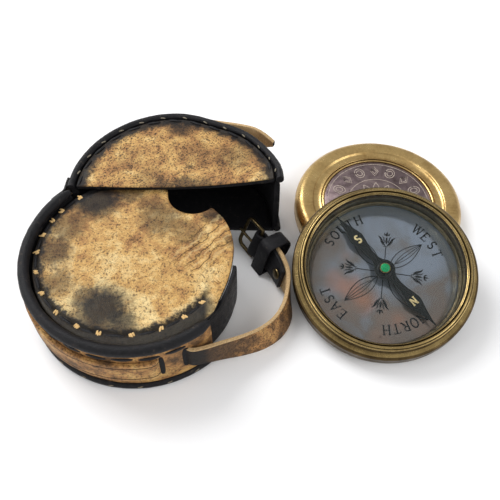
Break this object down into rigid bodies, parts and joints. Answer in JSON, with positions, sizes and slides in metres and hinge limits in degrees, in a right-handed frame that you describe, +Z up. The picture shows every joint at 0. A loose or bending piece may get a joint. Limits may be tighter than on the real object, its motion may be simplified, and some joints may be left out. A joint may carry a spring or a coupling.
{
  "type": "pocket compass with lid and leather case",
  "caption": "Round brass pocket compass with a dial, swinging needle and screw-on lid, beside its round stitched leather case with a swing-open hood, strap and buckle.",
  "frame": {"origin": "on the table, under the middle of the whole set's bounding box", "axes": "+X to the right, from the case towards the compass; +Y away from the viewer, towards the lid; +Z up"},
  "size_m": [0.1856, 0.1274, 0.03],
  "materials": {
    "aged_brass": "antique, dull satin",
    "dark_brass": "darkened, satin",
    "copper_plate": "polished, darkened copper tone",
    "blued_steel": "blackened",
    "green_jewel": "polished green stone",
    "clear_glass": "clear, flat",
    "gasket": "matt",
    "tan_leather": "distressed, pebbled",
    "black_leather": "burnished black"
  },
  "bodies": {
    "pouch": {"pouch_back": "tan_leather", "pouch_wall": "tan_leather", "pouch_front": "tan_leather", "pouch_welt_top": "black_leather", "pouch_welt_bottom": "black_leather", "wall_tongue": "black_leather", "strap_band": "tan_leather", "strap_tuck": "tan_leather", "strap_loop": "tan_leather", "strap_fold": "black_leather", "fold_rivet": "dark_brass", "keeper_loop": "black_leather", "hinge_leather": "black_leather"},
    "hood": {"hood_back": "tan_leather", "hood_front": "tan_leather", "hood_wall": "tan_leather", "hood_welt_top": "black_leather", "hood_welt_bottom": "black_leather", "strap_tongue": "tan_leather"},
    "buckle": {"buckle_frame": "dark_brass"},
    "prong": {"buckle_prong": "dark_brass"},
    "compass": {"base_cup": "dark_brass", "dial_seat_ring": "dark_brass", "dial_plate": "copper_plate", "dial_ring": "aged_brass", "glass_gasket": "gasket", "glass": "clear_glass", "bezel_ring": "aged_brass", "pivot_post": "aged_brass", "pivot_pin": "blued_steel"},
    "needle": {"needle_blade": "blued_steel", "needle_hub": "blued_steel", "needle_jewel": "green_jewel"},
    "lid": {"lid_shell": "aged_brass", "medallion_ring": "aged_brass", "lid_medallion": "copper_plate"}
  },
  "joints": [
    {"name": "hood_swing", "type": "hinge", "parent": "pouch", "child": "hood", "pos_m": [-0.07918, 0.01399, 0], "axis": [0, 0, 1], "range_deg": [-45, 35], "deforming": ["strap_loop", "strap_fold", "fold_rivet", "keeper_loop", "buckle_frame", "buckle_prong"]},
    {"name": "buckle_swing", "type": "hinge", "parent": "pouch", "child": "buckle", "pos_m": [0.00072, 0.00131, 0.00834], "axis": [0.3463, 0.2422, 0.9063], "range_deg": [0, 70]},
    {"name": "prong_swing", "type": "hinge", "parent": "buckle", "child": "prong", "pos_m": [0.00072, 0.00131, 0.00834], "axis": [0.3463, 0.2422, 0.9063], "range_deg": [0, 60]},
    {"name": "compass_lift", "type": "slide", "parent": "pouch", "child": "compass", "axis": [-0.0381, -0.2303, 0.9724], "range_m": [0, 0.06]},
    {"name": "lid_slide", "type": "slide", "parent": "pouch", "child": "lid", "axis": [0.1633, 0.9866, 0], "range_m": [0, 0.05]},
    {"name": "needle_spin", "type": "hinge", "parent": "compass", "child": "needle", "pos_m": [0.05266, -0.01454, 0.00783], "axis": [-0.0381, -0.2303, 0.9724], "continuous": true}
  ]
}
